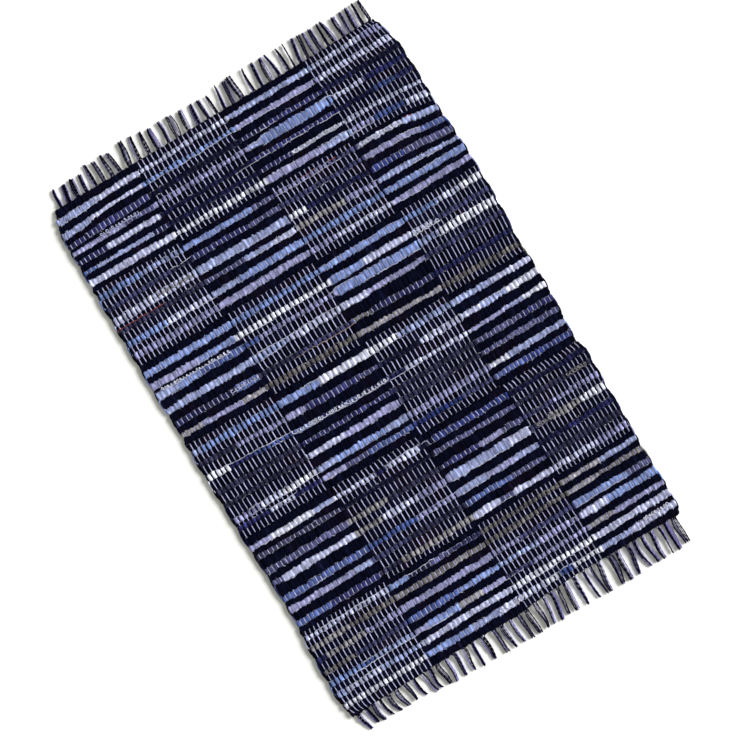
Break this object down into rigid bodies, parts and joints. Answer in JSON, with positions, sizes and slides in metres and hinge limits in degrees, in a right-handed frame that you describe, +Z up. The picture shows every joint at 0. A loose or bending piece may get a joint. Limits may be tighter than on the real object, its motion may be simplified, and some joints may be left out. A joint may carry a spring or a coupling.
{
  "type": "rag rug",
  "caption": "Flat hand-woven rag rug in blue and black stripe blocks, with a warp fringe along both short ends, to lie on a floor.",
  "frame": {"origin": "on the floor under the middle of the rug's outer box, fringe counted", "axes": "+X across the rug along its rag picks, +Y along the warp to the head end, +Z up out of its face"},
  "size_m": [0.613, 0.991, 0.0068],
  "materials": {
    "rag_weave": "matt, crumpled denim and black cotton rag, tied down by cotton warp",
    "fringe_yarn": "matt, plied cotton yarn, pale lilac and black"
  },
  "bodies": {
    "root": {"rug_body": "rag_weave", "fringe_head": "fringe_yarn", "fringe_foot": "fringe_yarn"}
  },
  "joints": []
}
